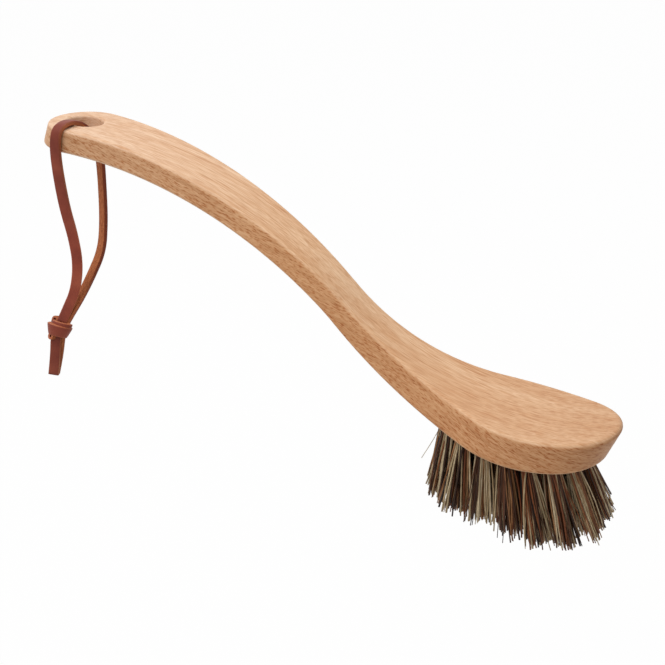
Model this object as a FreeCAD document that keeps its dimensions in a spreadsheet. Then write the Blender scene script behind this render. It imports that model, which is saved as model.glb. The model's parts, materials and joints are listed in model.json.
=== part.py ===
import FreeCAD
import Part
import math
import os

import Sketcher
from FreeCAD import Placement, Rotation, Vector

# A wooden dish brush with a curved handle, fibre tufts in drilled holes and a leather lace.
#
# The brush stands as it is used: bristles down, handle rising to the left (-X).
# The origin is the middle of the trimmed bristle face, +X runs along the brush
# towards the front of its head and +Z is up.
# The wood is sawn from a straight-grained board that lies at board_pitch to the
# bristle face.  Its side profile and its outline are drawn in the board's own
# frame: x from the handle's end to the head's front, z square to the board.

DRIVING_SIZES = {
    # wood, seen from the side
    "overall_length": 250,
    "board_pitch": 22,
    "crest_to_front": 180,
    "crest_radius": 190,
    "top_bend_angle": 21.6,
    "top_hollow_radius": 122,
    "handle_thickness": 9.4,
    "head_thickness": 13.4,
    "front_thickness": 14.1,
    # wood, seen square to the board
    "end_radius": 15.8,
    "neck_to_front": 107,
    "neck_half_width": 8.8,
    "head_half_width": 22,
    "head_side_radius": 46,
    "widest_to_front": 30,
    "edge_rounding": 1.5,
    # hanging hole
    "hang_hole_diameter": 14.5,
    "hang_hole_setback": 13,
    "hang_hole_rounding": 1,
    # field of tufts on the underside of the head
    "field_margin": 7.3,
    "field_half_straight": 9.8,
    "tuft_pitch": 8.1,
    "fan_height": 87,
    "fan_setback": 13,
    # one tuft and its hole
    "tuft_hole_diameter": 5.2,
    "tuft_hole_floor": 4.9,
    "tuft_clearance": 0.1,
    "tuft_collar": 1.2,
    "tuft_tip_gap": 0.9,
    "bristle_length": 26.5,
    # wire staple that holds a tuft in its hole
    "staple_wire": 0.8,
    "staple_width": 3.6,
    "staple_bite": 2.4,
    "staple_fold": 1.3,
    "staple_clearance": 0.05,
    # leather lace
    "lace_width": 3.8,
    "lace_thickness": 1.8,
    "lace_heading": 262,
    "lace_swing_drop": 11.5,
    "lace_swing_gap": 0.3,
    "knot_width": 8.4,
    "knot_depth": 7.2,
    "knot_height": 8.4,
    "knot_rounding": 2.6,
    "knot_tilt": 25,
}

# Cuts and drawn profiles run this far past the solid that they trim.
OVERRUN = 6.0

# An arc of the lace takes up this share of the shorter run beside it.
ARC_SHARE = 0.45

doc = FreeCAD.newDocument("dish_brush")
sheet = doc.addObject("Spreadsheet::Sheet", "Sizes")
for row, (alias, value) in enumerate(DRIVING_SIZES.items(), start=1):
    sheet.set(f"A{row}", alias)
    sheet.set(f"B{row}", str(value))
    sheet.setAlias(f"B{row}", alias)
doc.recompute()


def size(alias):
    """Give a driving dimension as a plain number."""
    return float(sheet.get(alias))


def sine(alias):
    """Give the sine of a driving angle."""
    return math.sin(math.radians(size(alias)))


def cosine(alias):
    """Give the cosine of a driving angle."""
    return math.cos(math.radians(size(alias)))


def origin_plane(body, role):
    """Find one of a body's own origin planes by its role."""
    return next(plane for plane in body.Origin.OriginFeatures if plane.Role == role)


def arc_between(centre, radius, start, end):
    """Make a sketch arc that runs anticlockwise from start to end about centre."""
    circle = Part.Circle(Vector(centre[0], centre[1], 0), Vector(0, 0, 1), radius)
    first = math.atan2(start[1] - centre[1], start[0] - centre[0])
    last = math.atan2(end[1] - centre[1], end[0] - centre[0])
    return Part.ArcOfCircle(circle, first, last)


def line_between(start, end):
    """Make a sketch line from start to end."""
    return Part.LineSegment(Vector(start[0], start[1], 0), Vector(end[0], end[1], 0))


def close_loop(sketch, first, count):
    """Join the end of each element of a loop to the start of the next one."""
    for step in range(count):
        here = first + step
        after = first + (step + 1) % count
        gap, here_end, after_end = min(
            (sketch.getPoint(here, a).distanceToPoint(sketch.getPoint(after, b)), a, b)
            for a in (1, 2) for b in (1, 2))
        sketch.addConstraint(Sketcher.Constraint("Coincident", here, here_end, after, after_end))


def bind_radius(sketch, element, name, formula):
    """Tie an arc's radius to the sheet."""
    index = sketch.addConstraint(
        Sketcher.Constraint("Radius", element, sketch.Geometry[element].Radius))
    sketch.renameConstraint(index, name)
    sketch.setExpression("Constraints." + name, formula)


def above(centre, radius, x):
    """Give the point of a circle at x on its upper side."""
    return (x, centre[1] + math.sqrt(radius ** 2 - (x - centre[0]) ** 2))


def below(centre, radius, x):
    """Give the point of a circle at x on its lower side."""
    return (x, centre[1] - math.sqrt(radius ** 2 - (x - centre[0]) ** 2))


def lowered(point, depth):
    """Give the point that lies a depth below another one."""
    return (point[0], point[1] - depth)


def touching_circle(first, second, centre, radius):
    """Find the circle through two points, above them, that touches a given circle from outside."""
    half = math.hypot(second[0] - first[0], second[1] - first[1]) / 2
    middle = ((first[0] + second[0]) / 2, (first[1] + second[1]) / 2)
    normal = ((first[1] - second[1]) / (2 * half), (second[0] - first[0]) / (2 * half))
    offset = (middle[0] - centre[0], middle[1] - centre[1])
    reach = offset[0] ** 2 + offset[1] ** 2 - radius ** 2 - half ** 2
    lean = normal[0] * offset[0] + normal[1] * offset[1]
    square = lean ** 2 - radius ** 2
    rest = (reach / 2) ** 2 - (radius * half) ** 2
    roots = [(-reach * lean / 2 + sign * math.sqrt((reach * lean / 2) ** 2 - square * rest)) / square
             for sign in (1, -1)]
    rise = max(root for root in roots if reach + 2 * root * lean > 0)
    return (middle[0] + rise * normal[0], middle[1] + rise * normal[1]), math.hypot(half, rise)


# Side profile: two arcs above and two below, each pair meeting in an inflection.
# The upper pair is drawn first.  The lower pair keeps the handle's thickness under
# the crest, and the head's under its widest place and at its front.
CREST = (size("overall_length") - size("crest_to_front"), -size("crest_radius"))
UNDER_CREST_RADIUS = size("crest_radius") - size("handle_thickness")
TOP_REACH = size("crest_radius") + size("top_hollow_radius")
TOP_HOLLOW = (CREST[0] + TOP_REACH * sine("top_bend_angle"),
              CREST[1] + TOP_REACH * cosine("top_bend_angle"))
HEAD_X = size("overall_length") - size("widest_to_front")
UNDER_HOLLOW, UNDER_HOLLOW_RADIUS = touching_circle(
    lowered(below(TOP_HOLLOW, size("top_hollow_radius"), HEAD_X), size("head_thickness")),
    lowered(below(TOP_HOLLOW, size("top_hollow_radius"), size("overall_length")),
            size("front_thickness")),
    CREST, UNDER_CREST_RADIUS)


def between_circles(centre, radius, other, other_radius):
    """Give the point where two touching circles meet, on the line of their centres."""
    span = math.hypot(other[0] - centre[0], other[1] - centre[1])
    share = radius / span if span > max(radius, other_radius) else radius / (radius - other_radius)
    return (centre[0] + (other[0] - centre[0]) * share, centre[1] + (other[1] - centre[1]) * share)


def draw_side_profile(sketch):
    """Draw the S of the handle and head: top arcs, front end, bottom arcs, handle end."""
    front_x = size("overall_length") + OVERRUN
    top_turn = between_circles(CREST, size("crest_radius"), TOP_HOLLOW, size("top_hollow_radius"))
    under_turn = between_circles(CREST, UNDER_CREST_RADIUS, UNDER_HOLLOW, UNDER_HOLLOW_RADIUS)
    top_back = above(CREST, size("crest_radius"), -OVERRUN)
    top_front = below(TOP_HOLLOW, size("top_hollow_radius"), front_x)
    under_front = below(UNDER_HOLLOW, UNDER_HOLLOW_RADIUS, front_x)
    under_back = above(CREST, UNDER_CREST_RADIUS, -OVERRUN)
    sketch.addGeometry([
        arc_between(CREST, size("crest_radius"), top_turn, top_back),
        arc_between(TOP_HOLLOW, size("top_hollow_radius"), top_turn, top_front),
        line_between(top_front, under_front),
        arc_between(UNDER_HOLLOW, UNDER_HOLLOW_RADIUS, under_turn, under_front),
        arc_between(CREST, UNDER_CREST_RADIUS, under_turn, under_back),
        line_between(under_back, top_back),
    ], False)
    close_loop(sketch, 0, 6)
    bind_radius(sketch, 0, "crest_radius", "Sizes.crest_radius")
    bind_radius(sketch, 1, "top_hollow_radius", "Sizes.top_hollow_radius")
    bind_radius(sketch, 4, "under_crest_radius", "Sizes.crest_radius - Sizes.handle_thickness")


# Outline: end arc, straight taper, waist arc, head side arc and front arc.
NECK_X = size("overall_length") - size("neck_to_front")
HEAD_SIDE_Y = size("head_half_width") - size("head_side_radius")
FRONT_RADIUS = (size("head_side_radius") ** 2 - size("widest_to_front") ** 2 - HEAD_SIDE_Y ** 2) / (
    2 * (size("head_side_radius") - size("widest_to_front")))
WAIST_RADIUS = ((HEAD_X - NECK_X) ** 2 + (size("neck_half_width") - HEAD_SIDE_Y) ** 2
                - size("head_side_radius") ** 2) / (
                    2 * (size("head_half_width") - size("neck_half_width")))
WAIST_Y = size("neck_half_width") + WAIST_RADIUS


def draw_outline(sketch):
    """Draw the outline of the board and a frame round it, so that a cut leaves the board."""
    end = (size("end_radius"), 0.0)
    waist = (NECK_X, WAIST_Y)
    head = (HEAD_X, HEAD_SIDE_Y)
    front = (size("overall_length") - FRONT_RADIUS, 0.0)
    run, rise = waist[0] - end[0], waist[1] - end[1]
    taper = math.atan2(run, rise) - math.acos(
        (WAIST_RADIUS + size("end_radius")) / math.hypot(run, rise))
    normal = (math.sin(taper), math.cos(taper))
    taper_back = (end[0] + size("end_radius") * normal[0], size("end_radius") * normal[1])
    taper_front = (waist[0] - WAIST_RADIUS * normal[0], waist[1] - WAIST_RADIUS * normal[1])
    flare = between_circles(head, size("head_side_radius"), waist, WAIST_RADIUS)
    shoulder = between_circles(head, size("head_side_radius"), front, FRONT_RADIUS)

    def flip(point):
        return (point[0], -point[1])

    sketch.addGeometry([
        arc_between(end, size("end_radius"), taper_back, flip(taper_back)),
        line_between(flip(taper_back), flip(taper_front)),
        arc_between(flip(waist), WAIST_RADIUS, flip(flare), flip(taper_front)),
        arc_between(flip(head), size("head_side_radius"), flip(flare), flip(shoulder)),
        arc_between(front, FRONT_RADIUS, flip(shoulder), shoulder),
        arc_between(head, size("head_side_radius"), shoulder, flare),
        arc_between(waist, WAIST_RADIUS, taper_front, flare),
        line_between(taper_front, taper_back),
    ], False)
    close_loop(sketch, 0, 8)
    bind_radius(sketch, 0, "end_radius", "Sizes.end_radius")
    bind_radius(sketch, 3, "near_side_radius", "Sizes.head_side_radius")
    bind_radius(sketch, 5, "far_side_radius", "Sizes.head_side_radius")
    left, right = -2 * OVERRUN, size("overall_length") + 2 * OVERRUN
    wide = size("head_half_width") + 2 * OVERRUN
    corners = [(left, -wide), (right, -wide), (right, wide), (left, wide)]
    sketch.addGeometry([line_between(corners[i], corners[(i + 1) % 4]) for i in range(4)], False)
    close_loop(sketch, 8, 4)


def sharp_edges(shape):
    """Name the edges where two faces of a solid meet at a clear angle."""
    names = []
    for number, edge in enumerate(shape.Edges, start=1):
        faces = shape.ancestorsOfType(edge, Part.Face)
        middle = edge.valueAt((edge.FirstParameter + edge.LastParameter) / 2)
        normals = [face.normalAt(*face.Surface.parameter(middle)) for face in faces]
        if len(normals) == 2 and abs(normals[0].dot(normals[1])) < math.cos(math.radians(30)):
            names.append(f"Edge{number}")
    return names


# Where the board lies: the middle tuft's axis meets the trimmed face in the origin.
# The outer row of tufts keeps one margin to the head's sides and to its front.
OUTER_ROW = size("head_half_width") - size("field_margin")
FIELD_X = size("overall_length") - size("field_margin") - OUTER_ROW - size("field_half_straight")
FIELD_TURN = math.asin((FIELD_X - UNDER_HOLLOW[0]) / UNDER_HOLLOW_RADIUS)
BOARD_TURN = Rotation(Vector(0, 1, 0), size("board_pitch"))
FIELD_ROOT = Vector(-size("bristle_length") * size("fan_setback") / size("fan_height"), 0,
                    size("bristle_length"))


def board_point(x, y, z):
    """Turn a point of the board's frame, before it is moved to its place."""
    return BOARD_TURN.multVec(Vector(x, y, z))


BOARD_PLACE = Placement(
    FIELD_ROOT - board_point(UNDER_HOLLOW[0] + UNDER_HOLLOW_RADIUS * math.sin(FIELD_TURN), 0,
                             UNDER_HOLLOW[1] - UNDER_HOLLOW_RADIUS * math.cos(FIELD_TURN)),
    BOARD_TURN)
FAN_POINT = FIELD_ROOT + Vector(-size("fan_setback"), 0, size("fan_height"))


def make_blank():
    """Saw the side profile from the board, cut its outline and round its edges."""
    body = doc.addObject("PartDesign::Body", "WoodBlank")
    side = body.newObject("Sketcher::SketchObject", "SideProfile")
    side.AttachmentSupport = (origin_plane(body, "XZ_Plane"), [""])
    side.MapMode = "FlatFace"
    draw_side_profile(side)
    slab = body.newObject("PartDesign::Pad", "Slab")
    slab.Profile = side
    slab.SideType = "Symmetric"
    slab.Length = 2 * (size("head_half_width") + OVERRUN)
    slab.setExpression("Length", f"2 * (Sizes.head_half_width + {OVERRUN})")
    doc.recompute()
    outline = body.newObject("Sketcher::SketchObject", "Outline")
    outline.AttachmentSupport = (origin_plane(body, "XY_Plane"), [""])
    outline.MapMode = "FlatFace"
    draw_outline(outline)
    trimmed = body.newObject("PartDesign::Pocket", "TrimToOutline")
    trimmed.Profile = outline
    trimmed.SideType = "Symmetric"
    trimmed.Type = "Length"
    trimmed.Length = 4 * size("crest_radius")
    trimmed.setExpression("Length", "4 * Sizes.crest_radius")
    doc.recompute()
    rounded = body.newObject("PartDesign::Fillet", "RoundedEdges")
    rounded.Base = (trimmed, sharp_edges(trimmed.Shape))
    rounded.Radius = size("edge_rounding")
    rounded.setExpression("Radius", "Sizes.edge_rounding")
    body.Placement = BOARD_PLACE
    doc.recompute()
    return body


def hang_hole_axis():
    """Give the point where the hang hole's axis leaves the handle's upper face."""
    x = size("hang_hole_setback")
    return BOARD_PLACE.multVec(Vector(x, 0, above(CREST, size("crest_radius"), x)[1]))


def bore_hang_hole(blank):
    """Bore the hang hole upright through the handle's end and round its two rims."""
    axis = hang_hole_axis()
    drill = doc.addObject("Part::Cylinder", "HangHoleDrill")
    drill.setExpression("Radius", "Sizes.hang_hole_diameter / 2")
    drill.setExpression("Height", "Sizes.handle_thickness * 4")
    drill.Placement = Placement(axis - Vector(0, 0, 2 * size("handle_thickness")), Rotation())
    bored = doc.addObject("Part::Cut", "BoredBlank")
    bored.Base = blank
    bored.Tool = drill
    doc.recompute()
    rims = []
    for number, edge in enumerate(bored.Shape.Edges, start=1):
        reach = [math.hypot(p.x - axis.x, p.y - axis.y) for p in edge.discretize(5)]
        flat = edge.BoundBox.ZLength < size("handle_thickness") / 2
        if flat and max(abs(r - size("hang_hole_diameter") / 2) for r in reach) < 0.01:
            rims.append((number, size("hang_hole_rounding"), size("hang_hole_rounding")))
    eased = doc.addObject("Part::Fillet", "EasedBlank")
    eased.Base = bored
    eased.Edges = rims
    doc.recompute()
    return eased


def oval_row(offset):
    """Space points evenly round an oval, half circles of radius offset on a straight."""
    straight = 2 * size("field_half_straight")
    if offset == 0:
        count = int(straight / size("tuft_pitch")) // 2 * 2 + 1
        return [(straight * (i / (count - 1) - 0.5), 0.0) for i in range(count)]
    round_end = math.pi * offset
    count = int((straight + round_end) / size("tuft_pitch")) * 2
    points = []
    for i in range(count):
        along = (i + 0.5) * 2 * (straight + round_end) / count
        half, rest = divmod(along, straight + round_end)
        side = 1 if half == 0 else -1
        if rest < straight:
            point = (rest - straight / 2, -offset)
        else:
            angle = (rest - straight) / offset
            point = (straight / 2 + offset * math.sin(angle), -offset * math.cos(angle))
        points.append((side * point[0], side * point[1]))
    return points


def tuft_seat(along, across):
    """Give where a tuft leaves the curved underside and the way that it points."""
    turn = FIELD_TURN + along / UNDER_HOLLOW_RADIUS
    root = BOARD_PLACE.multVec(Vector(
        UNDER_HOLLOW[0] + UNDER_HOLLOW_RADIUS * math.sin(turn), across,
        UNDER_HOLLOW[1] - UNDER_HOLLOW_RADIUS * math.cos(turn)))
    return root, (root - FAN_POINT).normalize()


# A tuft's hole stops above a floor of wood, and the tufts' trimmed ends lie side by
# side with a small gap, as far apart as the fan spreads the rows.
TUFT_HOLE_DEPTH = size("head_thickness") - size("tuft_hole_floor")
TUFT_ROOT_RADIUS = size("tuft_hole_diameter") / 2 - size("tuft_clearance")
FAN_SPREAD = 1 + size("bristle_length") / size("fan_height")
TUFT_TIP_RADIUS = (min(OUTER_ROW / 2, size("tuft_pitch")) * FAN_SPREAD - size("tuft_tip_gap")) / 2


def tuft_seats():
    """List every tuft by name, with its seat: an outer row, an inner row and a middle row."""
    seats = {}
    for row, offset in (("outer", OUTER_ROW), ("inner", OUTER_ROW / 2), ("middle", 0.0)):
        for number, spot in enumerate(oval_row(offset), start=1):
            seats[f"{row}_tuft_{number:02d}"] = tuft_seat(*spot)
    return seats


def make_staple():
    """Bend one wire staple: a crown with two legs that point along +Z."""
    body = doc.addObject("PartDesign::Body", "StaplePattern")
    sketch = body.newObject("Sketcher::SketchObject", "StapleShape")
    sketch.AttachmentSupport = (origin_plane(body, "XZ_Plane"), [""])
    sketch.MapMode = "FlatFace"
    outer, inner = size("staple_width") / 2, size("staple_width") / 2 - size("staple_wire")
    leg = size("staple_fold") + size("staple_bite")
    corners = [(-outer, 0), (outer, 0), (outer, leg), (inner, leg), (inner, size("staple_wire")),
               (-inner, size("staple_wire")), (-inner, leg), (-outer, leg)]
    sketch.addGeometry([line_between(corners[i], corners[(i + 1) % len(corners)])
                        for i in range(len(corners))], False)
    close_loop(sketch, 0, len(corners))
    wire = body.newObject("PartDesign::Pad", "StapleWire")
    wire.Profile = sketch
    wire.SideType = "Symmetric"
    wire.Length = size("staple_wire")
    wire.setExpression("Length", "Sizes.staple_wire")
    doc.recompute()
    return body


def turned_to(direction):
    """Turn +Z to a direction."""
    return Rotation(Vector(0, 0, 1), direction)


def staple_place(root, way):
    """Seat a staple over the fold at the bottom of its tuft's hole."""
    crown = TUFT_HOLE_DEPTH - size("staple_fold")
    return Placement(root - way * crown, turned_to(way * -1))


def make_staples(pattern, seats):
    """Set one staple in every tuft hole, as a group of separate solids."""
    group = doc.addObject("Part::Feature", "Staples")
    copies = []
    for root, way in seats.values():
        copy = pattern.Shape.copy()
        copy.Placement = staple_place(root, way)
        copies.append(copy)
    group.Shape = Part.makeCompound(copies)
    group.Placement = Placement()
    group.Label = "anchor_staples"
    return group


def make_staple_slots(pattern, seats):
    """Make the room that each staple takes up in the wood and in its tuft."""
    room = pattern.Shape.makeOffsetShape(size("staple_clearance"), 1e-4, join=2)
    slots = []
    for root, way in seats.values():
        slot = room.copy()
        slot.Placement = staple_place(root, way)
        slots.append(slot)
    group = doc.addObject("Part::Feature", "StapleSlots")
    group.Shape = Part.makeCompound(slots)
    group.Placement = Placement()
    return group


def drill_tuft_holes(wood, seats, slots):
    """Drill a slanting hole for every tuft, with the slots that its staple bites."""
    drills = []
    for name, (root, way) in seats.items():
        drill = doc.addObject("Part::Cylinder", "Drill_" + name)
        drill.setExpression("Radius", "Sizes.tuft_hole_diameter / 2")
        drill.setExpression("Height", f"Sizes.head_thickness - Sizes.tuft_hole_floor + {OVERRUN}")
        drill.Placement = Placement(root - way * TUFT_HOLE_DEPTH, turned_to(way))
        drills.append(drill)
    holes = doc.addObject("Part::Compound", "TuftHoles")
    holes.Links = drills
    drilled = doc.addObject("Part::Cut", "DrilledWood")
    drilled.Base = wood
    drilled.Tool = holes
    doc.recompute()
    body = doc.addObject("Part::Cut", "BeechBody")
    body.Base = drilled
    body.Tool = slots
    body.Label = "beech_body"
    doc.recompute()
    return body


def make_trim_block():
    """Make the block that trims every tuft to one level face, below the origin."""
    block = doc.addObject("Part::Box", "TrimBlock")
    block.setExpression("Length", "Sizes.overall_length")
    block.setExpression("Width", "Sizes.overall_length")
    block.setExpression("Height", "Sizes.bristle_length")
    block.Placement = Placement(
        Vector(-size("overall_length") / 2, -size("overall_length") / 2, -size("bristle_length")),
        Rotation())
    return block


def make_tuft(name, root, way, trim, slots):
    """Bind one tuft: a round root in its hole, a flare below the wood, a level trimmed end."""
    bound = doc.addObject("Part::Cylinder", "Root_" + name)
    bound.setExpression("Radius", "Sizes.tuft_hole_diameter / 2 - Sizes.tuft_clearance")
    bound.setExpression("Height", "Sizes.head_thickness - Sizes.tuft_hole_floor"
                                  " + Sizes.tuft_collar - Sizes.tuft_clearance")
    seat = TUFT_HOLE_DEPTH - size("tuft_clearance")
    bound.Placement = Placement(root - way * seat, turned_to(way))
    start = root + way * size("tuft_collar")
    reach = start.z / -way.z
    flare = doc.addObject("Part::Cone", "Flare_" + name)
    flare.setExpression("Radius1", "Sizes.tuft_hole_diameter / 2 - Sizes.tuft_clearance")
    flare.Radius2 = TUFT_ROOT_RADIUS + (TUFT_TIP_RADIUS - TUFT_ROOT_RADIUS) * (1 + OVERRUN / reach)
    flare.Height = reach + OVERRUN
    flare.Placement = Placement(start, turned_to(way))
    whole = doc.addObject("Part::Fuse", "Whole_" + name)
    whole.Base = bound
    whole.Tool = flare
    trimmed = doc.addObject("Part::Cut", "Trimmed_" + name)
    trimmed.Base = whole
    trimmed.Tool = trim
    tuft = doc.addObject("Part::Cut", "Tuft_" + name)
    tuft.Base = trimmed
    tuft.Tool = slots
    tuft.Label = name
    return tuft


# The lace's route in its own upright plane, as (distance from the hang hole's axis,
# height above the hole's upper mouth): through the hole and over the edge of the
# wood, then the two strands of the hanging loop, then the two short tails under
# the knot.  The loop swings on a level line, where the strands' ends are round.
LACE_PLACE = Placement(hang_hole_axis(), Rotation(Vector(0, 0, 1), size("lace_heading")))
SWING_LINE = -size("lace_swing_drop")
BIGHT_END = SWING_LINE + size("lace_width") / 2 + size("lace_swing_gap")
LACE_BIGHT = [(-5.8, BIGHT_END), (-5.7, -6.6), (2.6, -0.4), (7.6, 2.2), (17.05, 2.2),
              (17.35, BIGHT_END)]
LACE_BIGHT_RADII = [4.0, 30.0, 8.0, 4.8]
LACE_FRONT = [(17.35, SWING_LINE), (17.1, -20.2), (14.8, -32.0), (12.7, -44.5), (11.6, -56.8),
              (14.6, -68.2), (22.0, -77.2)]
LACE_BACK = [(-5.8, SWING_LINE), (-6.2, -20.1), (-5.9, -31.4), (-4.4, -43.4), (-1.6, -54.9),
             (5.0, -64.5), (12.2, -71.9), (19.8, -78.8)]
LACE_TAIL_FRONT = [(26.8, -82.6), (28.0, -91.4), (30.6, -99.6)]
LACE_TAIL_BACK = [(24.6, -83.0), (25.8, -91.8), (28.4, -100.2)]
TAIL_ASIDE = -1.0
KNOT_CENTRE = (24.2, -80.2)


def route_wire(name, points, radii=None):
    """Join straight runs with tangent arcs, as large as the runs allow or as given."""
    spots = [Vector(along, 0, height) for along, height in points]
    edges = []
    used = []
    here = spots[0]
    for i in range(1, len(spots) - 1):
        before, after = spots[i] - spots[i - 1], spots[i + 1] - spots[i]
        half_turn = before.getAngle(after) / 2
        radius = ARC_SHARE * min(before.Length, after.Length) / math.tan(half_turn)
        if radii:
            radius = radii[i - 1]
        used.append(radius)
        tangent = radius * math.tan(half_turn)
        before.normalize()
        after.normalize()
        start, end = spots[i] - before * tangent, spots[i] + after * tangent
        inward = (after - before).normalize()
        middle = spots[i] + inward * (radius / math.cos(half_turn) - radius)
        edges.append(Part.LineSegment(here, start).toShape())
        edges.append(Part.Arc(start, middle, end).toShape())
        here = end
    edges.append(Part.LineSegment(here, spots[-1]).toShape())
    print(name, "bend radii", [round(radius, 1) for radius in used])
    return Part.Wire(edges)


def lace_strip(name, points, radii=None, aside=0.0):
    """Carry the lace's flat section along its route, set aside, and compare the volume."""
    route = route_wire(name, points, radii)
    way = Vector(points[1][0] - points[0][0], 0, points[1][1] - points[0][1]).normalize()
    thin = way.cross(Vector(0, 1, 0)) * (size("lace_thickness") / 2)
    wide = Vector(0, size("lace_width") / 2, 0)
    start = Vector(points[0][0], 0, points[0][1])
    section = Part.makePolygon([start + thin + wide, start - thin + wide, start - thin - wide,
                                start + thin - wide, start + thin + wide])
    strip = route.makePipeShell([section], True, False)
    expected = route.Length * size("lace_thickness") * size("lace_width")
    print(name, "length", round(route.Length, 1), "volume share", round(strip.Volume / expected, 4))
    strip.translate(Vector(0, aside, 0))
    return strip


def swing_end(point):
    """Round a strand's upper end about the line on which the loop swings."""
    disc = Part.makeCylinder(size("lace_width") / 2, size("lace_thickness"),
                             Vector(point[0] - size("lace_thickness") / 2, 0, point[1]),
                             Vector(1, 0, 0))
    return disc


def lace_node(label, shape):
    """Keep one stretch of the lace as a sub-part, moved to its upright plane."""
    node = doc.addObject("Part::Feature", label)
    node.Shape = shape
    node.Placement = LACE_PLACE.multiply(shape.Placement)
    node.Label = label
    return node


def make_knot():
    """Shape the knot as a rounded block that both strands run into."""
    block = Part.makeBox(size("knot_width"), size("knot_depth"), size("knot_height"),
                         Vector(-size("knot_width") / 2, -size("knot_depth") / 2,
                                -size("knot_height") / 2))
    block = block.makeFillet(size("knot_rounding"), block.Edges)
    block.rotate(Vector(), Vector(0, 1, 0), -size("knot_tilt"))
    block.translate(Vector(KNOT_CENTRE[0], 0, KNOT_CENTRE[1]))
    return block


def make_lace():
    """Make the lace: its bight round the wood, the hanging loop, the knot and two tails."""
    knot = make_knot()
    nodes = [lace_node("lace_bight", lace_strip("lace_bight", LACE_BIGHT, LACE_BIGHT_RADII)),
             lace_node("lace_knot", knot)]
    for label, route in (("lace_front_strand", LACE_FRONT), ("lace_back_strand", LACE_BACK)):
        strand = lace_strip(label, route).fuse(swing_end(route[0])).removeSplitter()
        nodes.append(lace_node(label, strand.cut(knot)))
    for label, route, aside in (("lace_front_tail", LACE_TAIL_FRONT, 0.0),
                                ("lace_back_tail", LACE_TAIL_BACK, TAIL_ASIDE)):
        nodes.append(lace_node(label, lace_strip(label, route, aside=aside).cut(knot)))
    return nodes


seats = tuft_seats()
staple = make_staple()
slots = make_staple_slots(staple, seats)
wood = drill_tuft_holes(bore_hang_hole(make_blank()), seats, slots)
trim = make_trim_block()
sub_parts = [wood, make_staples(staple, seats)]
sub_parts += [make_tuft(name, root, way, trim, slots) for name, (root, way) in seats.items()]
sub_parts += make_lace()
doc.recompute()

for item in doc.Objects:
    if "Invalid" in item.State or "Error" in item.State:
        raise RuntimeError(f"{item.Label} did not recompute: {item.State}")
for part in sub_parts:
    if part.Shape.isNull() or not part.Shape.isValid():
        raise RuntimeError(f"{part.Label} has no valid shape")

print("hang hole's upper mouth", hang_hole_axis())
print("loop swings through", LACE_PLACE.multVec(Vector(0, 0, SWING_LINE)))
os.makedirs("parts", exist_ok=True)
for part in sub_parts:
    part.Shape.exportStep(f"parts/{part.Label}.step")
    print(part.Label, len(part.Shape.Solids), round(part.Shape.Volume, 2))
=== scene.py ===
"""A wooden dish brush: beech body, fanned plant-fibre tufts and a knotted leather lace."""
import json
import math

import bpy
import numpy as np
from mathutils import Matrix, Vector


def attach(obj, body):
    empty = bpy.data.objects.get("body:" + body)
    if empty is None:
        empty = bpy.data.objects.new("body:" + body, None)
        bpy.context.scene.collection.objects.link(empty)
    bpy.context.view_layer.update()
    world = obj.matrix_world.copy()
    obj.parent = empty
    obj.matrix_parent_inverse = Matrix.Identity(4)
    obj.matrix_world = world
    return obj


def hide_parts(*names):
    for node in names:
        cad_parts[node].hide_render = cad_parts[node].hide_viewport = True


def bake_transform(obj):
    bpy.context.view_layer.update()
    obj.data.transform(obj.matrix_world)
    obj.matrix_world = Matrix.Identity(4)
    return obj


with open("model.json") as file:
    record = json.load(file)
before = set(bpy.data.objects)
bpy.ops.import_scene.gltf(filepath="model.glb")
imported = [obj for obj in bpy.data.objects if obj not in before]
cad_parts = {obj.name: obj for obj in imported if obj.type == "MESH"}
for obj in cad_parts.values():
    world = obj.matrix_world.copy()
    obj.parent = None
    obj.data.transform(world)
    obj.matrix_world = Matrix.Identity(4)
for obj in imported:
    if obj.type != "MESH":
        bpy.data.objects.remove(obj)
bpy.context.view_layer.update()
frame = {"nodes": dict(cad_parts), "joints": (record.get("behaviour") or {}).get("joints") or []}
MM = 0.001

# Places of the part's frame, in metres.  The lace swings on a line straight under the hang hole, and
# the tufts fan out from one point above the head.
SWING_DROP = 11.5 * MM
SWING = next(joint for joint in frame["joints"] if joint["name"] == "loop_swing")
HANG_HOLE = np.array(SWING["pos_m"]) + (0.0, 0.0, SWING_DROP)
FAN_POINT = np.array([-16.96, 0.0, 113.5]) * MM
BOARD_PITCH = math.radians(22)

# The picture's camera: where it looks, from which side and how far away, its lens and sensor in
# millimetres, and the nearest distance that it shows.
CAMERA_AIM = Vector(HANG_HOLE + np.array([114.98, -11.62, -64.26]) * MM)
CAMERA_AZIMUTH = math.radians(26.82)
CAMERA_ELEVATION = math.radians(24.39)
CAMERA_ROLL = math.radians(-0.30)
CAMERA_DISTANCE = 0.41681
CAMERA_LENS = 61.25
CAMERA_SENSOR = 36.0
CAMERA_NEAR = 0.01

# A colour Mix node's sockets: the colour below, the colour above and the result.
MIX_BELOW, MIX_ABOVE, MIX_RESULT = 6, 7, 2


def srgb(code):
    """Turn an sRGB hex colour to linear RGBA by the sRGB curve."""
    parts = np.array([int(code[i:i + 2], 16) for i in (1, 3, 5)]) / 255
    linear = np.where(parts <= 0.04045, parts / 12.92, ((parts + 0.055) / 1.055) ** 2.4)
    return (*linear.tolist(), 1.0)


def add_node(tree, kind, inputs=None, stops=(), **settings):
    """Add a shader node with its own settings.  Each input takes a value or a link, and the stops are
    a colour ramp's, each a place from 0 to 1 and an sRGB hex colour."""
    made = tree.nodes.new("ShaderNode" + kind)
    for name, value in settings.items():
        setattr(made, name, value)
    for name, value in (inputs or {}).items():
        if isinstance(value, bpy.types.NodeSocket):
            tree.links.new(value, made.inputs[name])
        else:
            made.inputs[name].default_value = value
    for _ in stops[2:]:
        made.color_ramp.elements.new(1.0)
    for element, (place, colour) in zip(made.color_ramp.elements if stops else (), stops):
        element.position = place
        element.color = srgb(colour)
    return made


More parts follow.
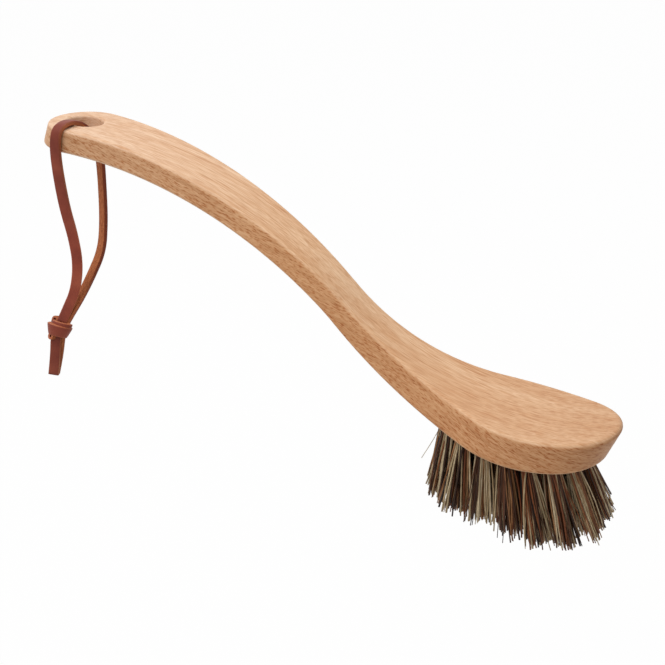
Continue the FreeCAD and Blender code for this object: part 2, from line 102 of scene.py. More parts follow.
def new_material(name):
    """Start a material with an empty node tree."""
    material = bpy.data.materials.new(name)
    material.use_nodes = True
    material.node_tree.nodes.clear()
    return material, material.node_tree


def end_material(tree, shader):
    """Link a shader to the tree's output."""
    add_node(tree, "OutputMaterial", {"Surface": shader.outputs[0]})


def per_metre(extent):
    """Give the texture scale at which one cell of a pattern has the given size."""
    return tuple(1 / length for length in extent)


# Sizes of the marks in beech, in metres: along the grain, across the board, through the board.  The
# grain runs a few degrees aside of the board, and its rings stand nearly upright in it.
GRAIN_YAW = math.radians(5)
BEECH_BAND = (0.1800, 0.0062, 0.0400)
BEECH_RING = (0.0150, 0.00085, 0.0018)
BEECH_FIBRE = (0.0060, 0.00045, 0.0011)
BEECH_STREAK = (0.0160, 0.0160, 0.0013)
BEECH_FLECK = (0.0021, 0.0021, 0.00042)
# The board's two ends along the grain, in metres.
BOARD_ENDS = (-0.220, 0.020)
# How much a surface faces up or down where the top's marks begin and where they are full, and the same for
# the side walls' marks.
TOP_FACING = (0.35, 0.8)
WALL_FACING = (0.7, 0.3)
# How far from the middle of the hang hole's mouth the drilled wall reaches and from where the side walls'
# marks are full, in metres, and the share of these marks that the drilled wall shows: the rest is painted
# light inside the hole.
DRILLED_REACH = (0.0125, 0.0135)
DRILLED_MARKS = 0.6


def beech():
    """Beech, sanded fine and oiled.  The rings stand upright in the board, so its top shows them as
    long faint lines in broader bands.  Its side walls are streaked along the grain, partly painted shade
    that darkens them against the top, and show the rays' ends as many short red-brown spindles; both
    are fainter on the drilled hole's wall, which is painted light there.  From end to end the colour
    turns from pale to a deeper tone: a painted sheen at the handle's end and painted shade towards
    the head."""
    material, tree = new_material("oiled_beech")
    place = add_node(tree, "TexCoord")
    board = add_node(tree, "Mapping", {"Vector": place.outputs["Object"],
                                       "Rotation": (0.0, -BOARD_PITCH, -GRAIN_YAW)})
    along = add_node(tree, "SeparateXYZ", {"Vector": board.outputs[0]})
    to_head = add_node(tree, "MapRange", {"Value": along.outputs["X"], "From Min": BOARD_ENDS[0],
                                          "From Max": BOARD_ENDS[1]})
    facing = add_node(tree, "SeparateXYZ", {"Vector": place.outputs["Normal"]})
    upward = add_node(tree, "Math", {0: facing.outputs["Z"]}, operation="ABSOLUTE")
    on_top, sideways = (
        add_node(tree, "MapRange", {"Value": upward.outputs[0], "From Min": begin, "From Max": full})
        for begin, full in (TOP_FACING, WALL_FACING))
    from_hole = add_node(tree, "VectorMath", {0: place.outputs["Object"], 1: tuple(HANG_HOLE)},
                         operation="DISTANCE")
    # Inside the hang hole the side walls' marks are weakened: painted light on the drilled wall.
    outside = add_node(tree, "MapRange", {
        "Value": from_hole.outputs["Value"], "From Min": DRILLED_REACH[0], "From Max": DRILLED_REACH[1],
        "To Min": DRILLED_MARKS})
    on_wall = add_node(tree, "Math", {0: sideways.outputs[0], 1: outside.outputs[0]}, operation="MULTIPLY")

    # Pale at the handle's end and deeper towards the head: a painted sheen at the end and painted shade over
    # the head.
    colour = add_node(tree, "ValToRGB", {"Fac": to_head.outputs[0]}, stops=[
        (0.0, "#EED2B8"), (0.45, "#F5D0AA"), (0.75, "#EBC49E"), (1.0, "#DDB793")]).outputs[0]
    for extent, shown, strength, stops in (
            (BEECH_BAND, on_top, 1.0, [(0.32, "#EDDFD1"), (0.50, "#F6EFE8"), (0.68, "#FFFFFF")]),
            (BEECH_RING, on_top, 0.85, [(0.32, "#E6CFB8"), (0.52, "#FFFFFF"), (0.70, "#F3E4D6")]),
            # The side walls' streaks: grain streaks, and partly painted shade that darkens the walls against
            # the top.
            (BEECH_STREAK, on_wall, 1.0, [(0.32, "#CEB195"), (0.50, "#DBC1A8"), (0.68, "#E6D3BF")]),
            (BEECH_FLECK, on_wall, 0.95, [(0.48, "#FFFFFF"), (0.60, "#E6CDB4"), (0.72, "#BE916A")]),
            (BEECH_FIBRE, on_top, 0.7, [(0.30, "#DCC3AB"), (0.60, "#FFFFFF")])):
        spread = add_node(tree, "Mapping", {"Vector": board.outputs[0], "Scale": per_metre(extent)})
        grain = add_node(tree, "TexNoise", {"Vector": spread.outputs[0], "Scale": 1.0, "Detail": 2.5,
                                            "Distortion": 0.3})
        tint = add_node(tree, "ValToRGB", {"Fac": grain.outputs[0]}, stops=stops)
        share = add_node(tree, "Math", {0: shown.outputs[0], 1: strength}, operation="MULTIPLY")
        colour = add_node(tree, "Mix", {
            "Factor": share.outputs[0], MIX_BELOW: colour, MIX_ABOVE: tint.outputs[0]},
            data_type="RGBA", blend_type="MULTIPLY").outputs[MIX_RESULT]
    sheen = add_node(tree, "MapRange", {"Value": grain.outputs[0], "To Min": 0.46, "To Max": 0.62})
    bump = add_node(tree, "Bump", {"Height": grain.outputs[0], "Strength": 0.25, "Distance": 0.06 * MM})
    shader = add_node(tree, "BsdfPrincipled", {
        "Base Color": colour, "Roughness": sheen.outputs[0], "IOR": 1.5,
        "Specular IOR Level": 0.3, "Normal": bump.outputs[0]})
    end_material(tree, shader)
    return material


# Sizes of the bands along a fibre, in metres, and how strongly they show.
FIBRE_BAND = (0.0009, 0.0009, 0.006)
FIBRE_BAND_SHARE = 0.8


def bristle_fibre():
    """Mixed plant fibre, stripped and cut: stiff waxy hairs from black-brown to bone white.
    Each hair keeps one shade, with faint lengthwise bands."""
    material, tree = new_material("mixed_plant_fibre")
    shade = add_node(tree, "Attribute", attribute_name="fibre_shade")
    colour = add_node(tree, "ValToRGB", {"Fac": shade.outputs["Fac"]}, stops=[
        (0.0, "#190D06"), (0.18, "#352013"), (0.38, "#5A3620"), (0.54, "#7C4526"),
        (0.66, "#94603A"), (0.76, "#AB845D"), (0.86, "#AF9976"), (1.0, "#D8C6A6")])
    place = add_node(tree, "TexCoord")
    spread = add_node(tree, "Mapping", {"Vector": place.outputs["Object"], "Scale": per_metre(FIBRE_BAND)})
    bands = add_node(tree, "TexNoise", {"Vector": spread.outputs[0], "Scale": 1.0, "Detail": 2.0})
    worn = add_node(tree, "ValToRGB", {"Fac": bands.outputs[0]}, stops=[(0.3, "#C2B8AA"), (0.65, "#FFFFFF")])
    colour = add_node(tree, "Mix", {
        "Factor": FIBRE_BAND_SHARE, MIX_BELOW: colour.outputs[0], MIX_ABOVE: worn.outputs[0]},
        data_type="RGBA", blend_type="MULTIPLY")
    shader = add_node(tree, "BsdfPrincipled", {
        "Base Color": colour.outputs[MIX_RESULT], "Roughness": 0.5, "IOR": 1.5, "Specular IOR Level": 0.25})
    end_material(tree, shader)
    return material


# Sizes of the marks in leather, in metres: pebbles of the grain side, fibres of the flesh side, and the
# clouds of the dye.
LEATHER_PEBBLE = 0.00045
LEATHER_NAP = (0.0016, 0.0004, 0.0004)
LEATHER_STAIN = 0.012
# Where the flesh side's look begins and is full, from the grain side (1) to the flesh side (-1).
FLESH_SIDE = (0.45, -0.25)
# How bright the lace's colour is made at its deepest painted shade and at its strongest painted light.
PAINTED_LIGHT_RANGE = (0.5, 1.5)


def lace_leather():
    """Vegetable-tanned leather lace, dyed brown: a smooth dark grain side with fine pebbles, a
    paler fibrous flesh side, and cut edges that are pale in some stretches and burnished in others,
    the pale ones partly a painted highlight and the burnished ones partly painted shade.  Some
    stretches are lighter with painted light and some darker with painted shade, and the tails are
    darker with painted shade."""
    material, tree = new_material("brown_lace_leather")
    side = add_node(tree, "Attribute", attribute_name="lace_side")
    edge = add_node(tree, "Attribute", attribute_name="lace_edge")
    strip = add_node(tree, "Attribute", attribute_name="lace_strip")
    spread = add_node(tree, "Mapping", {"Vector": strip.outputs["Vector"], "Scale": per_metre(LEATHER_NAP)})
    nap = add_node(tree, "TexNoise", {"Vector": spread.outputs[0], "Scale": 1.0, "Detail": 3.0})
    stain = add_node(tree, "TexNoise", {"Vector": strip.outputs["Vector"], "Scale": 1 / LEATHER_STAIN,
                                        "Detail": 3.0})
    pebble = add_node(tree, "TexVoronoi", {"Vector": strip.outputs["Vector"],
                                           "Scale": 1 / LEATHER_PEBBLE}, feature="SMOOTH_F1")
    grain = add_node(tree, "ValToRGB", {"Fac": stain.outputs[0]}, stops=[
        (0.3, "#6F3024"), (0.5, "#823C2C"), (0.72, "#924A36")])
    flesh = add_node(tree, "ValToRGB", {"Fac": nap.outputs[0]}, stops=[
        (0.3, "#8D4D2D"), (0.5, "#A5603A"), (0.7, "#BB754C")])
    inner = add_node(tree, "MapRange", {
        "Value": side.outputs["Fac"], "From Min": FLESH_SIDE[0], "From Max": FLESH_SIDE[1]})
    colour = add_node(tree, "Mix", {
        "Factor": inner.outputs[0], MIX_BELOW: grain.outputs[0], MIX_ABOVE: flesh.outputs[0]},
        data_type="RGBA").outputs[MIX_RESULT]
    # Cut edges, dark burnished and pale; along the loop their stretches are partly painted shade and painted
    # highlight.
    for full, cut_colour in ((-1.0, "#743622"), (1.0, "#B26A48")):
        share = add_node(tree, "MapRange", {"Value": edge.outputs["Fac"], "From Min": 0.0, "From Max": full})
        colour = add_node(tree, "Mix", {
            "Factor": share.outputs[0], MIX_BELOW: colour, MIX_ABOVE: srgb(cut_colour)},
            data_type="RGBA").outputs[MIX_RESULT]
    # Painted light and shade along the lace: lighter in some stretches, darker under the handle and on the
    # tails.
    tone = add_node(tree, "Attribute", attribute_name="lace_tone")
    level = add_node(tree, "MapRange", {
        "Value": tone.outputs["Fac"], "From Min": -1.0, "To Min": PAINTED_LIGHT_RANGE[0],
        "To Max": PAINTED_LIGHT_RANGE[1]})
    colour = add_node(tree, "HueSaturation", {"Value": level.outputs[0], "Color": colour}).outputs[0]
    rough = add_node(tree, "MapRange", {"Value": inner.outputs[0], "To Min": 0.5, "To Max": 0.8})
    height = add_node(tree, "Mix", {"Factor": inner.outputs[0], "A": pebble.outputs["Distance"],
                                    "B": nap.outputs[0]}, data_type="FLOAT")
    bump = add_node(tree, "Bump", {"Height": height.outputs[0], "Strength": 0.35, "Distance": 0.08 * MM})
    shader = add_node(tree, "BsdfPrincipled", {
        "Base Color": colour, "Roughness": rough.outputs[0], "IOR": 1.45,
        "Specular IOR Level": 0.25, "Normal": bump.outputs[0]})
    end_material(tree, shader)
    return material


# Sizes of the lines that the die leaves on the wire, in metres.
WIRE_LINE = (0.0001, 0.0001, 0.002)


def drawn_wire():
    """Galvanised steel wire, drawn through a die: bright, with fine lines."""
    material, tree = new_material("drawn_steel_wire")
    place = add_node(tree, "TexCoord")
    spread = add_node(tree, "Mapping", {"Vector": place.outputs["Object"], "Scale": per_metre(WIRE_LINE)})
    lines = add_node(tree, "TexNoise", {"Vector": spread.outputs[0], "Scale": 1.0})
    rough = add_node(tree, "MapRange", {"Value": lines.outputs[0], "To Min": 0.25, "To Max": 0.45})
    shader = add_node(tree, "BsdfPrincipled", {
        "Base Color": srgb("#B4B5B8"), "Metallic": 1.0, "Roughness": rough.outputs[0]})
    end_material(tree, shader)
    return material


def add_piece(name, vertices, faces, material, attributes=None):
    """Put worked-out vertices and faces into a smooth mesh, with one value or vector per vertex."""
    mesh = bpy.data.meshes.new(name)
    mesh.from_pydata(vertices.reshape(-1, 3).tolist(), [], faces)
    for key, values in (attributes or {}).items():
        flat = np.asarray(values, np.float32)
        kind, field = ("FLOAT", "value") if flat.ndim == 1 else ("FLOAT_VECTOR", "vector")
        mesh.attributes.new(key, kind, "POINT").data.foreach_set(field, flat.ravel())
    mesh.materials.append(material)
    mesh.shade_smooth()
    piece = bpy.data.objects.new(name, mesh)
    bpy.context.scene.collection.objects.link(piece)
    return piece


def tube_faces(rings, sides, tubes=1):
    """Number the faces of closed tubes that follow each other: quads between neighbouring rings and a
    cap on each end."""
    ring, step = np.meshgrid(np.arange(rings - 1), np.arange(sides), indexing="ij")
    here, beside = ring * sides + step, ring * sides + (step + 1) % sides
    quads = np.stack([here, beside, beside + sides, here + sides], -1).reshape(-1, 4)
    caps = np.stack([np.arange(sides)[::-1], np.arange(sides) + (rings - 1) * sides])
    first = np.arange(tubes)[:, None, None] * rings * sides
    return (quads + first).reshape(-1, 4).tolist() + (caps + first).reshape(-1, sides).tolist()


def unit(rows):
    """Scale each vector to length one."""
    return rows / np.linalg.norm(rows, axis=-1, keepdims=True)


# Fibres of one tuft: their number, their section's corners and rings, their radii in metres, the share of
# the radius that is left at the tip, and the first tuft's seed.
FIBRES_PER_TUFT = 110
FIBRE_SIDES = 4
FIBRE_RINGS = 7
FIBRE_RADIUS = (0.00017, 0.00044)
FIBRE_TIP = 0.85
FIBRE_SEED = 4100
# Clumps of one tuft, and the share of their fibres that have the clump's shade.
CLUMPS_PER_TUFT = 28
SAME_SHADE = 0.70
# Places on a tuft's disc: the sunflower's angle in radians, and in shares of the disc's radius the fibres'
# scatter and how far out clumps lie.
SUNFLOWER_ANGLE = 2.39996
FIBRE_SCATTER = 0.09
CLUMP_REACH = 0.9
# Radii of a tuft's discs at the root and the tip, the depth of its hole and a fibre's bow, in metres.
ROOT_DISC = 0.0024
TIP_DISC = 0.0043
TUFT_SEAT = 0.0084
FIBRE_BOW = 0.0005
# Slopes by which clumps and single fibres lean, and the stray fibres that lean more and are thinner.
CLUMP_LEAN = 0.044
FIBRE_LEAN = 0.018
STRAY_SHARE = 0.025
STRAY_LEAN = 5.0
STRAY_RADIUS = 0.55
# The trimmed end's depth on the solid, and how unevenly fibres and clumps are cut, in metres.
TRIMMED_DEPTH = 0.00005
CUT_RAGGED = 0.0006
CUT_CLUMPED = 0.0007
# The cut falls by a slope towards the front, down to its lowest place, and turns up again beyond it.  Its
# heights and lengths are in metres.
CUT_LOWEST = -0.0017
CUT_LOWEST_AT = 0.019
CUT_SLOPE = 0.118
CUT_UPTURN = 0.0038
CUT_UPTURN_RUN = 0.014
# Shades along the colour ramp, as (share of the clumps, lowest, highest).
FIBRE_SHADES = ((0.14, 0.00, 0.18), (0.24, 0.20, 0.44), (0.21, 0.48, 0.62), (0.14, 0.66, 0.77),
                (0.27, 0.84, 1.0))


def tuft_axis(node):
    """Read a tuft's place from its solid: the middle of its trimmed end, the way from the fan's
    point to there, and how far its root lies behind that end."""
    corners = np.array([v.co for v in frame["nodes"][node].data.vertices])
    tip = corners[corners[:, 2] < TRIMMED_DEPTH].mean(0)
    way = unit(tip - FAN_POINT)
    return tip, way, ((tip - corners) @ way).max()


def cut_level(x):
    """Give the height at which fibres are cut: a slope towards the front, then a square upturn."""
    behind = np.maximum(CUT_LOWEST_AT - x, 0)
    beyond = np.maximum(x - CUT_LOWEST_AT, 0) / CUT_UPTURN_RUN
    return CUT_LOWEST + CUT_SLOPE * behind + CUT_UPTURN * beyond ** 2


def fibre_bundle(node, rng):
    """Work out a tuft's fibres.  Each starts at a sunflower place on the root disc, runs straight
    to the mouth of its hole, and then leans out by the disc's growth, its clump's lean and its own.
    A sine bow bends it.  It ends where it meets the cut level, raised or lowered by its clump and
    by its own raggedness.  Its section is a small square ring that thins to the tip."""
    tip, way, reach = tuft_axis(node)
    count = FIBRES_PER_TUFT
    across = unit(np.cross(way, (0.0, 1.0, 0.0)))
    over = np.cross(way, across)
    order = np.arange(count)
    around = order * SUNFLOWER_ANGLE
    spot = np.sqrt((order + 0.5) / count)[:, None] * np.stack([np.cos(around), np.sin(around)], -1)
    spot += rng.normal(0, FIBRE_SCATTER, (count, 2))
    centres = rng.uniform(-CLUMP_REACH, CLUMP_REACH, (CLUMPS_PER_TUFT, 2))
    clump = ((spot[:, None] - centres) ** 2).sum(-1).argmin(1)
    stray = rng.random(count) < STRAY_SHARE
    own = rng.normal(0, FIBRE_LEAN, (count, 2)) * np.where(stray, STRAY_LEAN, 1.0)[:, None]
    lean = rng.normal(0, CLUMP_LEAN, (CLUMPS_PER_TUFT, 2))[clump] + own

    growth = (TIP_DISC - ROOT_DISC) / (reach - TUFT_SEAT)
    slope = spot * growth + lean
    root = tip - way * reach + ROOT_DISC * (spot[:, :1] * across + spot[:, 1:] * over)
    outward = way + slope[:, :1] * across + slope[:, 1:] * over
    start = root + way * TUFT_SEAT
    ragged = rng.normal(0, CUT_CLUMPED, CLUMPS_PER_TUFT)[clump] + rng.normal(0, CUT_RAGGED, count)
    level = cut_level(start[:, 0] + outward[:, 0] * start[:, 2]) + ragged
    run = (start[:, 2] - level) / -outward[:, 2]

    share = np.linspace(0, 1, FIBRE_RINGS - 1)
    bow = rng.normal(0, FIBRE_BOW, (count, 2))
    bend = (bow[:, :1] * across + bow[:, 1:] * over)[:, None] * np.sin(math.pi * share)[None, :, None]
    line = start[:, None] + (run[:, None] * share)[..., None] * outward[:, None] + bend
    line = np.concatenate([root[:, None], line], 1)

    angle = rng.uniform(0, math.pi, count)[:, None] + np.arange(FIBRE_SIDES) * 2 * math.pi / FIBRE_SIDES
    radius = rng.uniform(*FIBRE_RADIUS, count) * np.where(stray, STRAY_RADIUS, 1.0)
    ring = np.cos(angle)[..., None] * across + np.sin(angle)[..., None] * over
    taper = np.linspace(1.0, FIBRE_TIP, FIBRE_RINGS)
    vertices = line[:, :, None] + ring[:, None] * (radius[:, None] * taper)[:, :, None, None]

    classes = np.array(FIBRE_SHADES)
    by_clump = rng.choice(len(classes), CLUMPS_PER_TUFT, p=classes[:, 0])[clump]
    by_fibre = rng.choice(len(classes), count, p=classes[:, 0])
    chosen = classes[np.where(rng.random(count) < SAME_SHADE, by_clump, by_fibre)]
    shade = chosen[:, 1] + (chosen[:, 2] - chosen[:, 1]) * rng.random(count)
    return vertices, np.repeat(shade, FIBRE_RINGS * FIBRE_SIDES)


def make_tufts(material):
    """Replace every tuft's solid by its fibres."""
    faces = tube_faces(FIBRE_RINGS, FIBRE_SIDES, FIBRES_PER_TUFT)
    nodes = sorted(name for name in frame["nodes"] if "_tuft_" in name)
    for number, node in enumerate(nodes):
        vertices, shade = fibre_bundle(node, np.random.default_rng(FIBRE_SEED + number))
        piece = add_piece("fibres_" + node, vertices, faces, material, {"fibre_shade": shade})
        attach(piece, "brush")
        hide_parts(node)


# The lace, in millimetres about the hang hole's upper mouth: distance along the lace's heading, distance
# aside, and height.  From the knot up the front strand, over the edge, through the hole and down the back
# strand to the knot.
LACE_HEADING = math.radians(262)
LACE_WIDTH = 4.2 * MM
LACE_THICKNESS = 1.8 * MM
LACE_LOOP = [
    (23.4, 0.0, -79.0), (19.2, 0.0, -74.0), (14.2, 0.2, -67.6), (11.5, 0.4, -56.8), (12.6, 0.4, -44.5),
    (15.2, 0.3, -32.4), (16.6, 0.35, -20.4), (17.25, 0.5, -10.5), (17.2, 1.15, -3.9), (16.55, 1.95, -0.25),
    (14.3, 2.25, 1.4), (9.7, 1.0, 1.5), (5.75, 0.8, 0.6), (2.85, 0.1, -0.65), (-1.7, -0.2, -4.4),
    (-5.9, -0.1, -7.4), (-5.85, 0.3, -11.5), (-6.2, 0.1, -20.1), (-6.1, -0.2, -31.4), (-5.0, 0.0, -43.4),
    (-2.5, 0.1, -55.2), (5.0, 0.0, -64.5), (12.2, 0.0, -71.9), (20.0, 0.0, -78.3), (23.4, 0.2, -81.6)]
LACE_TAIL_FRONT = [(25.0, -0.2, -80.0), (26.8, -0.2, -83.6), (28.2, 0.0, -91.4), (30.4, 0.0, -99.4)]
LACE_TAIL_BACK = [(24.0, 0.8, -80.0), (25.6, 0.9, -83.8), (26.8, -0.1, -92.0), (28.4, -1.6, -99.8)]
# How far the lace turns about its own line, as (share of the loop's points, degrees), and how its cut
# edges are toned there, from burnished (-1) to pale (1): the pale stretches are partly a painted highlight
# where an edge catches the light, and the burnished ones partly painted shade.
LACE_TURN = np.array([(0.0, 40), (0.14, 44), (0.20, 32), (0.26, 16), (0.30, 14), (0.36, 6), (0.42, 0),
                      (0.63, 0), (0.68, 6), (0.74, 12), (0.82, 12), (0.87, 6), (1.0, 10)])
LACE_EDGE = np.array([(0.0, 0.9), (0.14, 0.9), (0.20, 0.3), (0.28, 0.15), (0.34, 0.6), (0.42, 0.9),
                      (0.52, 0.1), (0.60, -0.9), (0.88, -0.9), (0.94, 0.2), (1.0, 0.8)])
# The painted light and shade there, from painted shade (-1) to painted light (1).
LACE_PAINTED_LIGHT = np.array([(0.0, 0.1), (0.06, 0.25), (0.10, 0.7), (0.15, 0.65), (0.19, 0.3), (0.25, 0.05),
                      (0.30, -0.1), (0.45, -0.1), (0.60, 0.1)])
# The tails' painted shade on that scale, and their turn in degrees.
TAIL_PAINTED_SHADE = -0.4
TAIL_TURN = -30.0
# The lace's own directions, and the order and the steps of the spline that its line follows.
LACE_ALONG = np.array([math.cos(LACE_HEADING), math.sin(LACE_HEADING), 0.0])
LACE_ASIDE = np.array([-math.sin(LACE_HEADING), math.cos(LACE_HEADING), 0.0])
UPRIGHT = np.array([0.0, 0.0, 1.0])
ROUTE_ORDER = 3
ROUTE_STEPS = 10


def lace_vector(parts):
    """Turn rows of (along, aside, height) in millimetres into the frame's directions, in metres."""
    return np.asarray(parts, float) @ np.stack([LACE_ALONG, LACE_ASIDE, UPRIGHT]) * MM


def smooth_line(points):
    """Read the line of a NURBS spline of order 3 that has these points as its control points."""
    curve = bpy.data.curves.new("route", "CURVE")
    curve.dimensions = "3D"
    curve.resolution_u = ROUTE_STEPS
    spline = curve.splines.new("NURBS")
    spline.points.add(len(points) - 1)
    spline.points.foreach_set("co", np.c_[points, np.ones(len(points))].ravel())
    spline.order_u = ROUTE_ORDER
    spline.use_endpoint_u = True
    holder = bpy.data.objects.new("route", curve)
    mesh = bpy.data.meshes.new_from_object(holder)
    line = np.zeros(len(mesh.vertices) * 3)
    mesh.vertices.foreach_get("co", line)
    bpy.data.objects.remove(holder)
    bpy.data.curves.remove(curve)
    bpy.data.meshes.remove(mesh)
    return line.reshape(-1, 3)


# Section of the lace, as (share of half its thickness, share of half its width): a crowned grain side, a
# flat flesh side and two cut edges.  Both sides fall off at the eased corners, and the cut's look begins a
# little before the edge.
STRIP_FACE = np.array([-0.97, -0.86, -0.6, -0.2, 0.2, 0.6, 0.86, 0.97])
STRIP_EASED = 0.12
STRIP_CROWN = 0.03
STRIP_EDGE = 0.45
STRIP_CUT = 0.9
STRIP_SECTION = np.concatenate([
    np.stack([1.0 - STRIP_EASED * STRIP_FACE ** 6 - STRIP_CROWN * STRIP_FACE ** 2, STRIP_FACE], -1),
    [(STRIP_EDGE, 1.0), (-STRIP_EDGE, 1.0)],
    np.stack([-1.0 + STRIP_EASED * STRIP_FACE[::-1] ** 6, STRIP_FACE[::-1]], -1),
    [(-STRIP_EDGE, -1.0), (STRIP_EDGE, -1.0)]])


def lace_strip(line, across, turn=0.0, edge=0.0, tone=0.0, width=LACE_WIDTH, thickness=LACE_THICKNESS):
    """Carry the lace's section along a line.  The section's width lies along the given direction, made
    square to the line and turned about it, and its thickness along the product of the two.  Beside the
    vertices, give each one's side, its cut edge's tone, its painted light and shade and its place on the
    strip laid flat."""
    way = unit(np.gradient(line, axis=0))
    wide = unit(across - (across * way).sum(-1, keepdims=True) * way)
    thick = np.cross(way, wide)
    turn = np.broadcast_to(np.radians(turn), len(line))[:, None]
    wide, thick = (wide * np.cos(turn) + thick * np.sin(turn), thick * np.cos(turn) - wide * np.sin(turn))
    section = STRIP_SECTION * (thickness / 2, width / 2)
    vertices = line[:, None] + section[:, :1] * thick[:, None] + section[:, 1:] * wide[:, None]

    run = np.r_[0.0, np.cumsum(np.linalg.norm(np.diff(line, axis=0), axis=1))]
    rings, sides = vertices.shape[:2]
    cut = np.clip((np.abs(STRIP_SECTION[:, 1]) - STRIP_CUT) / (1 - STRIP_CUT), 0, 1)
    marks = {"lace_side": np.tile(STRIP_SECTION[:, 0], rings),
             "lace_edge": (np.broadcast_to(edge, rings)[:, None] * cut).ravel(),
             "lace_tone": np.repeat(np.broadcast_to(tone, rings), sides),
             "lace_strip": np.stack([np.repeat(run, sides), np.tile(section[:, 1], rings),
                                     np.tile(section[:, 0], rings)], -1)}
    return vertices, marks


# The knot, in millimetres about its middle: to the right, to the front and up along its own axis, which
# leans back at the top.  Its turns are (half width, half depth, height, shift to the right, strip's
# width, flare in degrees), and its folds (right, front, up, radius, 1 above or -1 below the turns).
KNOT_MIDDLE = (25.0, 0.0, -81.6)
KNOT_UP = (-0.42, 0.03, 0.91)
KNOT_RIGHT = (-0.10, 1.0, 0.10)
KNOT_TURNS = ((4.0, 3.3, 0.2, -0.1, 4.7, 18.0), (3.5, 2.7, 2.7, 0.8, 2.2, 8.0))
KNOT_FOLDS = ((-2.9, -0.6, 3.8, 1.15, 1), (-1.0, 1.6, -2.9, 0.85, -1))
# The share of a turn that laps over its beginning, how much it closes in there, and its cut edges' tone.
TURN_LAP = 0.12
TURN_CLOSES = 0.3
TURN_EDGE = 1.0
# A fold's legs in millimetres, its cut edges' tone and its strip.
FOLD_LEG = 1.2
FOLD_EDGE = 0.6
FOLD_WIDTH = 3.0 * MM
FOLD_THICKNESS = 1.0 * MM
# How many steps a turn and a fold are drawn in.
TURN_STEPS = 48
FOLD_STEPS = 24


def knot_strips():
    """Work out the knot.  A turn is an ellipse about the knot's axis that begins and ends at the back
    and closes in over its lap, with its width leaning out by the flare.  A fold is a half circle in
    the plane of the knot's axis and width, on two straight legs."""
    up = unit(lace_vector(KNOT_UP))
    right = lace_vector(KNOT_RIGHT)
    right = unit(right - right @ up * up)
    front = np.cross(right, up)
    middle = HANG_HOLE + lace_vector(KNOT_MIDDLE)
    strips = []
    for half_width, half_depth, height, shift, width, flare in KNOT_TURNS:
        turn = np.linspace(0, 1 + TURN_LAP, TURN_STEPS)[:, None]
        angle = -math.pi / 2 - 2 * math.pi * turn
        shrink = 1 - TURN_CLOSES * np.clip(turn - 1 + TURN_LAP, 0, TURN_LAP) / TURN_LAP
        out = unit(right * np.cos(angle) * half_depth + front * np.sin(angle) * half_width)
        spot = (right * np.cos(angle) * half_width + front * np.sin(angle) * half_depth) * shrink
        spot += right * shift
        lean = up * math.cos(math.radians(flare)) + out * math.sin(math.radians(flare))
        strips.append(lace_strip(middle + (spot + up * height) * MM, lean, edge=TURN_EDGE, width=width * MM))
    for aside, ahead, height, radius, way in KNOT_FOLDS:
        angle = np.linspace(math.pi, 0.0, FOLD_STEPS)
        x = np.r_[-radius, radius * np.cos(angle), radius][:, None]
        y = np.r_[-FOLD_LEG, radius * np.sin(angle), -FOLD_LEG][:, None] * way
        spot = right * (aside + x) + front * ahead + up * (height + y)
        strips.append(lace_strip(middle + spot * MM, np.broadcast_to(front * way, spot.shape),
                                 edge=FOLD_EDGE, width=FOLD_WIDTH, thickness=FOLD_THICKNESS))
    return strips


def add_lace_piece(name, strips, material, nodes):
    """Join strips into one piece that stands for some of the lace's nodes."""
    sides = len(STRIP_SECTION)
    faces = []
    first = 0
    for vertices, _ in strips:
        faces += [[index + first for index in face] for face in tube_faces(len(vertices), sides)]
        first += len(vertices) * sides
    marks = {key: np.concatenate([marks[key] for _, marks in strips]) for key in strips[0][1]}
    vertices = np.concatenate([vertices.reshape(-1, 3) for vertices, _ in strips])
    piece = add_piece(name, vertices, faces, material, marks)
    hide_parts(*nodes)
    return piece


def make_lace(material):
    """Lay the lace's loop, tie its knot and hang its tails."""
    line = smooth_line(HANG_HOLE + lace_vector(LACE_LOOP))
    share = np.linspace(0, 1, len(line))
    # tone is the painted light and shade along the loop.
    turn, edge, tone = (np.interp(share, *course.T) for course in (LACE_TURN, LACE_EDGE, LACE_PAINTED_LIGHT))
    strip = lace_strip(line, np.broadcast_to(-LACE_ASIDE, line.shape), turn, edge, tone)
    loop = add_lace_piece("lace_loop_strip", [strip], material,
                          ("lace_bight", "lace_front_strand", "lace_back_strand"))
    pieces = [add_lace_piece("lace_knot_turns", knot_strips(), material, ("lace_knot",))]
    for node, route, way, tail_edge in (("lace_front_tail", LACE_TAIL_FRONT, 1, 1.0),
                                        ("lace_back_tail", LACE_TAIL_BACK, -1, 0.8)):
        tail_line = smooth_line(HANG_HOLE + lace_vector(route))
        across = np.broadcast_to(LACE_ASIDE * way, tail_line.shape)
        strip = lace_strip(tail_line, across, TAIL_TURN, tail_edge, TAIL_PAINTED_SHADE)
        pieces.append(add_lace_piece(node + "_strip", [strip], material, (node,)))
    for piece in pieces:
        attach(piece, "lace_loop")
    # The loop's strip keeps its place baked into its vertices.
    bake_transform(loop)


# The paper floor's level and half its width in metres, the share of it that is white by itself where it is
# seen directly, and the strength of the world's light.
FLOOR_LEVEL = -0.12
FLOOR_HALF = 6.0
PAPER_WHITE = 0.98
WORLD_LIGHT = 0.50
# Each lamp: its name, its place and its disc's width in metres, and its power in watts.
LAMPS = (("key_lamp", (-0.40, -0.57, 0.84), 0.9, 5.8), ("top_lamp", (-0.25, 0.30, 0.90), 0.9, 2.8))


def seen_directly(tree):
    """Tell whether the camera sees a place, straight, in gloss or through glass."""
    rays = add_node(tree, "LightPath")
    seen = rays.outputs["Is Camera Ray"]
    for kind in ("Is Glossy Ray", "Is Transmission Ray"):
        seen = add_node(tree, "Math", {0: seen, 1: rays.outputs[kind]}, operation="MAXIMUM").outputs[0]
    return seen


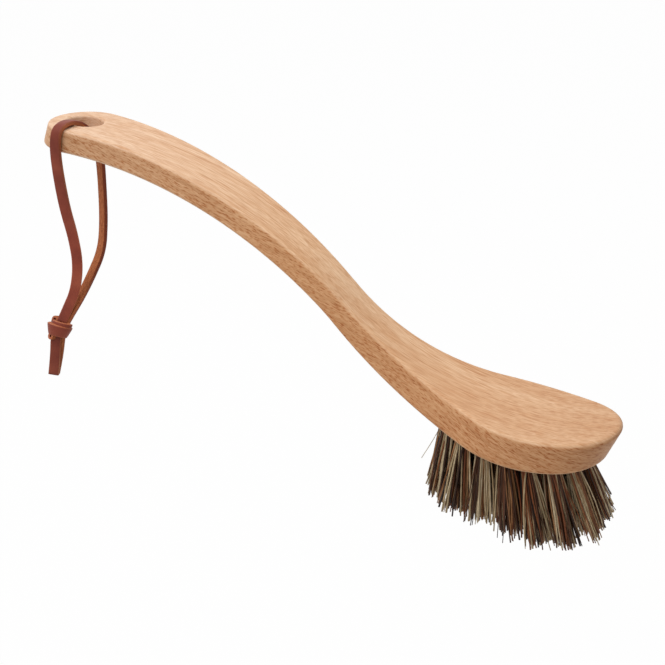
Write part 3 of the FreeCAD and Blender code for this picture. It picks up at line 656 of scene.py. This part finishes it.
def studio_white():
    """Pale matt paper.  Where it is seen directly it is nearly white by itself, and a share of it still
    takes the light, so that a shadow shows on it."""
    material, tree = new_material("pale_paper")
    part = add_node(tree, "Math", {0: seen_directly(tree), 1: PAPER_WHITE}, operation="MULTIPLY")
    matt = add_node(tree, "BsdfDiffuse", {"Color": srgb("#DAD9D7")})
    glow = add_node(tree, "Emission", {"Color": srgb("#FFFFFF"), "Strength": 1.0})
    shader = add_node(tree, "MixShader", {"Fac": part.outputs[0], 1: matt.outputs[0], 2: glow.outputs[0]})
    end_material(tree, shader)
    return material


def make_studio():
    """Lay the floor, set the lamps and the world, and place the camera."""
    corners = np.array([(-1, -1), (1, -1), (1, 1), (-1, 1)]) * FLOOR_HALF
    floor = add_piece("floor", np.c_[corners, np.full(4, FLOOR_LEVEL)], [[0, 1, 2, 3]], studio_white())

    world = bpy.data.worlds.new("studio")
    world.use_nodes = True
    tree = world.node_tree
    tree.nodes.clear()
    level = add_node(tree, "MapRange", {"Value": seen_directly(tree), "To Min": WORLD_LIGHT, "To Max": 1.0})
    sky = add_node(tree, "Background", {"Color": srgb("#FFFFFF"), "Strength": level.outputs[0]})
    add_node(tree, "OutputWorld", {"Surface": sky.outputs[0]})
    bpy.context.scene.world = world

    for name, place, size, power in LAMPS:
        lamp = bpy.data.lights.new(name, "AREA")
        lamp.shape = "DISK"
        lamp.size = size
        lamp.energy = power
        holder = bpy.data.objects.new(name, lamp)
        holder.location = place
        holder.rotation_euler = (CAMERA_AIM - Vector(place)).to_track_quat("-Z", "Y").to_euler()
        bpy.context.scene.collection.objects.link(holder)

    lens = bpy.data.cameras.new("picture_camera")
    lens.lens = CAMERA_LENS
    lens.sensor_width = CAMERA_SENSOR
    lens.clip_start = CAMERA_NEAR
    camera = bpy.data.objects.new("picture_camera", lens)
    flat = math.cos(CAMERA_ELEVATION)
    back = Vector((math.sin(CAMERA_AZIMUTH) * flat, -math.cos(CAMERA_AZIMUTH) * flat,
                   math.sin(CAMERA_ELEVATION)))
    right = Vector((math.cos(CAMERA_AZIMUTH), math.sin(CAMERA_AZIMUTH), 0.0))
    turn = Matrix((right, back.cross(right), back)).transposed() @ Matrix.Rotation(CAMERA_ROLL, 3, "Z")
    camera.matrix_world = Matrix.Translation(CAMERA_AIM + back * CAMERA_DISTANCE) @ turn.to_4x4()
    bpy.context.scene.collection.objects.link(camera)
    bpy.context.scene.camera = camera
    bpy.context.scene.view_settings.view_transform = "Standard"


def dress_node(node, material):
    """Give a CAD node that stays in sight its finish."""
    mesh = frame["nodes"][node].data
    mesh.materials.clear()
    mesh.materials.append(material)


dress_node("beech_body", beech())
dress_node("anchor_staples", drawn_wire())
make_tufts(bristle_fibre())
make_lace(lace_leather())
make_studio()
